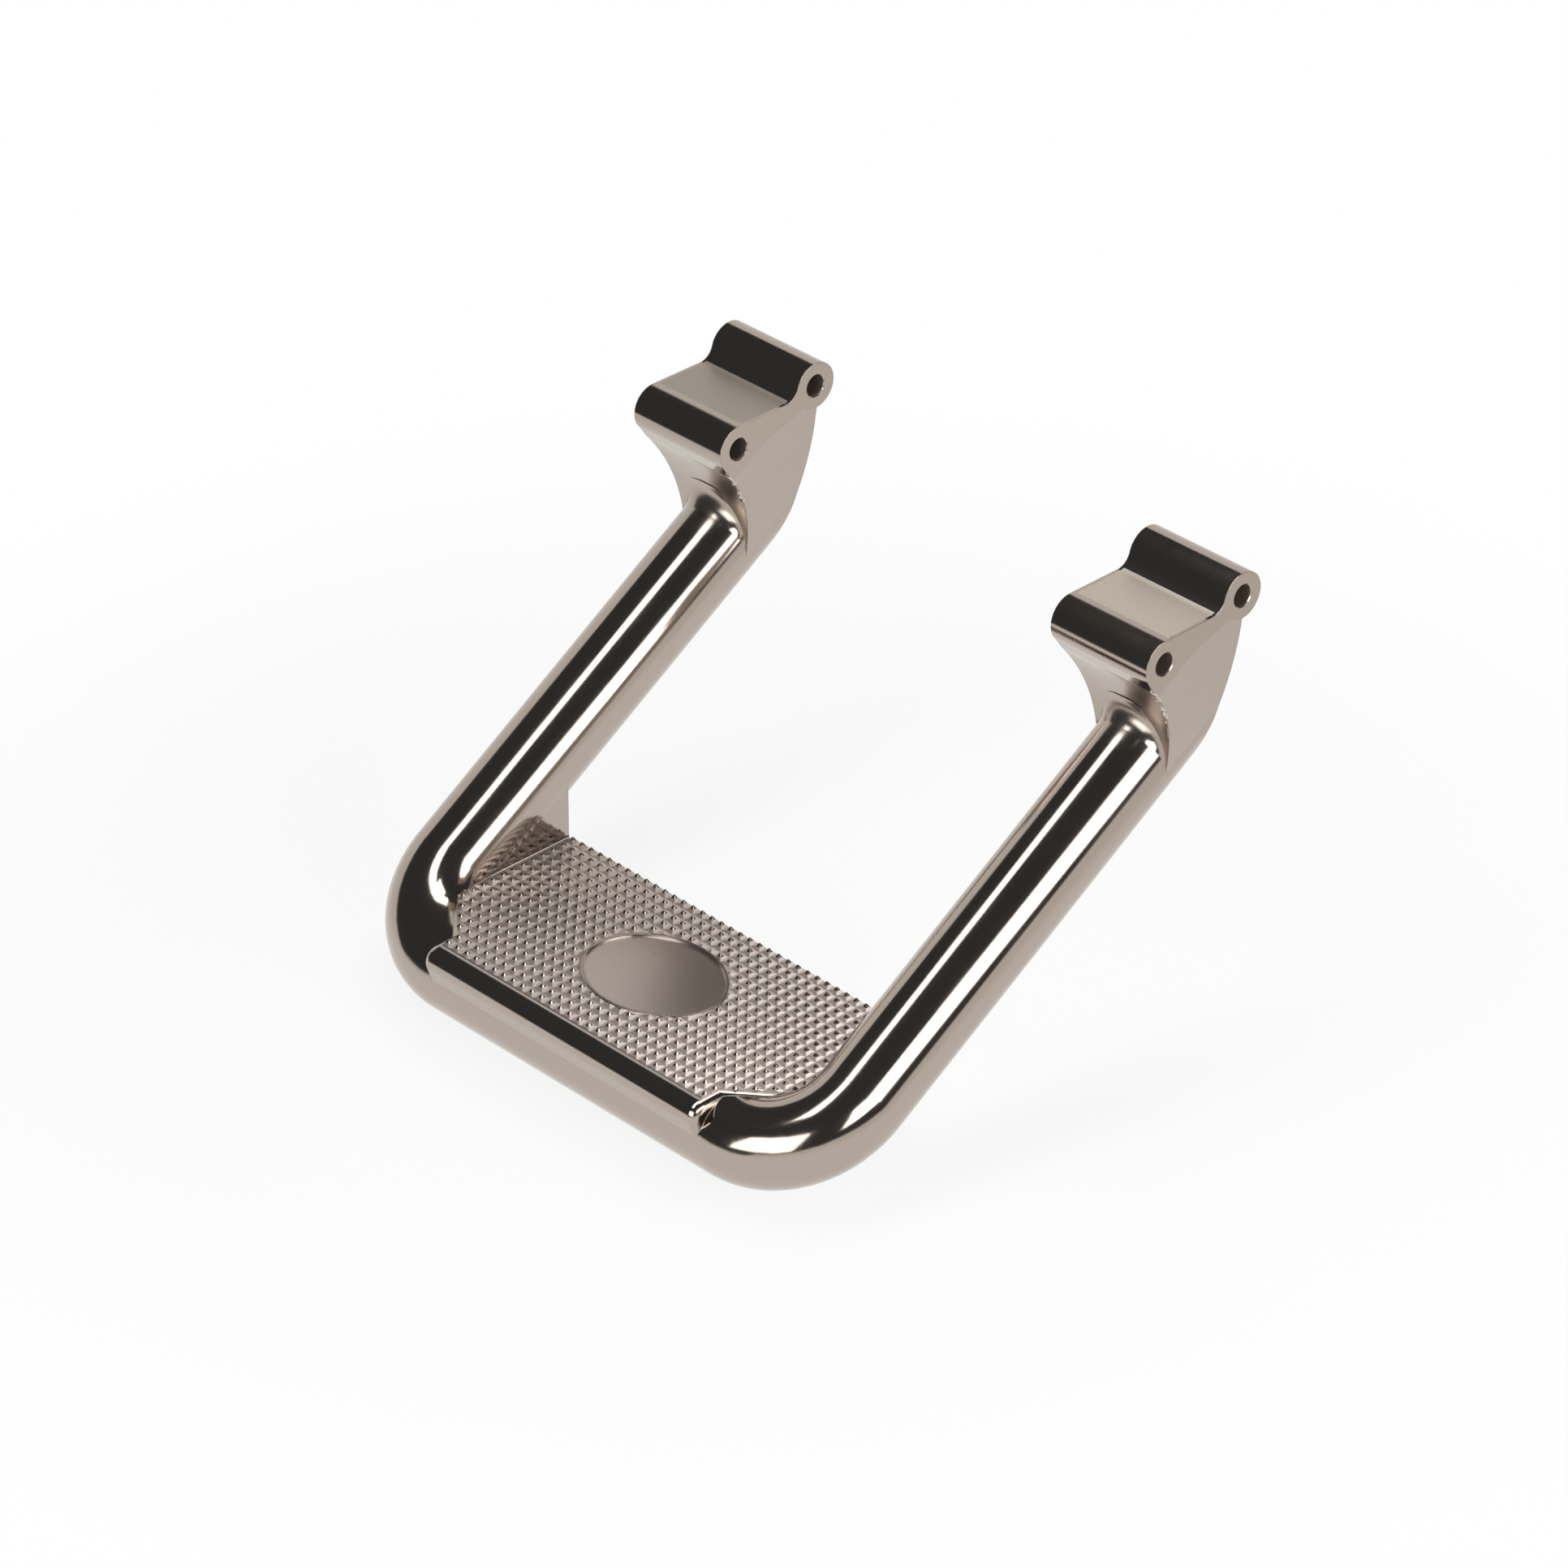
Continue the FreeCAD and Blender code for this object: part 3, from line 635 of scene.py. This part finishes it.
# %% Walls and ceiling
WALL_COLOUR = (0.86, 0.84, 0.82, 1.0)
CEILING_COLOUR = (0.052, 0.055, 0.058, 1.0)
WHITE = (1.0, 1.0, 1.0, 1.0)
WALL_TOP = 0.515
RIGHT_TOP = WALL_TOP - 0.15
BACK_SLOPE = 0.17
FRONT_SLOPE = 1.3
RIGHT_SLOPE = -1.5
GROUND_LEFT = -0.4
GROUND_LOW = -0.36
EDGE_BLUR = 0.02
world = bpy.data.worlds.new("studio")
bpy.context.scene.world = world
world.use_nodes = True
tree = world.node_tree
tree.nodes.clear()
out = tree.nodes.new("ShaderNodeOutputWorld")
direction = add_node(tree, "ShaderNodeTexCoord", "direction")
axes = add_node(tree, "ShaderNodeSeparateXYZ", "axes")
join(tree, direction, "Generated", axes, "Vector")
back_wall = arithmetic(tree, "MULTIPLY_ADD", axes.outputs["Y"], BACK_SLOPE, WALL_TOP)
front_end = arithmetic(tree, "MULTIPLY_ADD", axes.outputs["Y"], FRONT_SLOPE, WALL_TOP)
right_end = arithmetic(tree, "MULTIPLY_ADD", axes.outputs["X"], RIGHT_SLOPE, RIGHT_TOP)
edge = arithmetic(tree, "MINIMUM", back_wall, arithmetic(tree, "MINIMUM", front_end, right_end))
ground = add_node(tree, "ShaderNodeMapRange", "end of the pale ground", From_Min=GROUND_LEFT, From_Max=0.0,
                  To_Min=GROUND_LOW, To_Max=0.0)
join(tree, axes, "X", ground, "Value")
edge = arithmetic(tree, "MAXIMUM", edge, ground.outputs["Result"])
over = add_node(tree, "ShaderNodeMapRange", "over the wall", From_Min=-EDGE_BLUR, From_Max=EDGE_BLUR)
tree.links.new(arithmetic(tree, "SUBTRACT", axes.outputs["Z"], edge), over.inputs["Value"])
room = choose(tree, over.outputs["Result"], WALL_COLOUR, CEILING_COLOUR, "RGBA")
ray = add_node(tree, "ShaderNodeLightPath", "kind of ray")
room = choose(tree, ray.outputs["Is Camera Ray"], room, WHITE, "RGBA")
surroundings = add_node(tree, "ShaderNodeBackground", "studio")
tree.links.new(room, surroundings.inputs["Color"])
join(tree, surroundings, "Background", out, "Surface")
print("world:", world.name)

# %% [markdown]
# ## Soft panels
# The bright bands on the arms are mirror images of soft lights: a long narrow panel overhead, a wide one
# at the right, a short one overhead at the back and a dimmer one in front. They could be glowing boards;
# area lights give the same bands with less noise. The camera doesn't see them.

# %% Soft panels
PANEL_HEIGHT = 0.71
BRIGHT = 4.5
DIM = 3.0


def soft_panel(name, place, aim, width, length, radiance):
    """Rectangular soft light of one brightness, that points at a place."""
    light = bpy.data.lights.new(name, "AREA")
    light.shape = "RECTANGLE"
    light.size = width
    light.size_y = length
    light.energy = radiance * width * length * math.pi
    panel = bpy.data.objects.new(name, light)
    bpy.context.collection.objects.link(panel)
    panel.location = place
    panel.rotation_euler = (Vector(aim) - Vector(place)).to_track_quat("-Z", "Y").to_euler()
    panel.visible_camera = False
    return panel


panels = [soft_panel("overhead_panel", place=(-0.095, 0.0, PANEL_HEIGHT), aim=(-0.095, 0.0, 0.0),
                     width=0.16, length=1.1, radiance=BRIGHT),
          soft_panel("side_panel", place=(0.67, -0.03, 0.375), aim=(0.0, -0.03, 0.375),
                     width=0.8, length=0.33, radiance=BRIGHT),
          soft_panel("back_panel", place=(0.0, 0.2, PANEL_HEIGHT), aim=(0.0, 0.2, 0.0),
                     width=0.16, length=0.3, radiance=BRIGHT),
          soft_panel("front_panel", place=(0.125, -0.65, 0.22), aim=(0.125, 0.0, 0.22),
                     width=0.45, length=0.32, radiance=DIM)]
print("panels:", [panel.name for panel in panels])

# %% [markdown]
# ## Camera
# The camera stands where the photo was taken, solved from the grid of the tread. It could be aimed by
# hand; the solved directions put every edge where the photo has it. The picture's middle is the middle
# of the view, so no shift is needed.

# %% Camera
PHOTO_PIXELS = 1932
PHOTO_FOCAL_PIXELS = 8270
SENSOR_WIDTH = 36.0
CAMERA_PLACE = (1.40371, -1.37309, 1.30258)
lens = bpy.data.cameras.new("photo_camera")
lens.sensor_width = SENSOR_WIDTH
lens.lens = SENSOR_WIDTH * PHOTO_FOCAL_PIXELS / PHOTO_PIXELS
lens.clip_start = 0.1
lens.clip_end = 20.0
camera = bpy.data.objects.new("photo_camera", lens)
bpy.context.collection.objects.link(camera)
right = Vector((0.69774, 0.71634, 0.00525))
up = Vector((-0.38057, 0.36445, 0.84991))
backward = Vector((0.60691, -0.59501, 0.52690))
turn = Matrix((right, up, backward)).transposed().to_4x4()
camera.matrix_world = Matrix.Translation(CAMERA_PLACE) @ turn
scene = bpy.context.scene
scene.camera = camera
scene.view_settings.view_transform = "Standard"
print("lens", round(lens.lens, 1), "mm")
